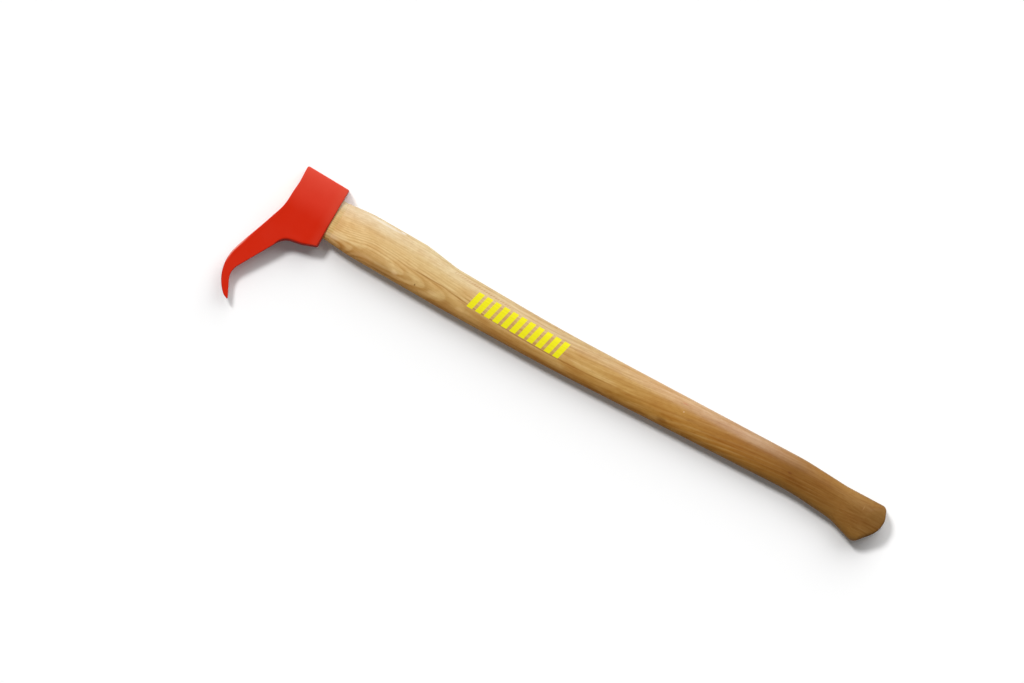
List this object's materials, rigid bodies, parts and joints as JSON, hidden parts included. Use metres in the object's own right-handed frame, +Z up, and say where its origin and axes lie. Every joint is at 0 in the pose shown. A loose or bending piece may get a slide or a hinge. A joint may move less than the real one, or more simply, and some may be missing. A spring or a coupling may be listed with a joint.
{
  "type": "log hook",
  "caption": "Forest log hook (sappie): forged red beak head with an oval eye, wedged on a bowed, lacquered ash handle with a swelling shoulder and a flared, slanted end knob.",
  "frame": {"origin": "on the flat of the lower cheek of the head, straight below the middle of the eye; the tool lies on its side with this cheek on the floor", "axes": "+X along the eye from the handle towards the crown of the head, +Y square to the handle towards the tip of the beak, +Z up through the cheeks"},
  "size_m": [0.8298, 0.1835, 0.035],
  "materials": {
    "red_enamel": "satin signal-red enamel over forged steel",
    "lacquered_ash": "clear-lacquered ash, pale at the shoulder and honey brown at the knob",
    "wedge_hardwood": "bare sawn hardwood",
    "bare_steel": "bare turned steel"
  },
  "bodies": {
    "root": {"head": "red_enamel", "handle": "lacquered_ash", "wooden_wedge": "wedge_hardwood", "ring_wedge": "bare_steel"}
  },
  "joints": []
}
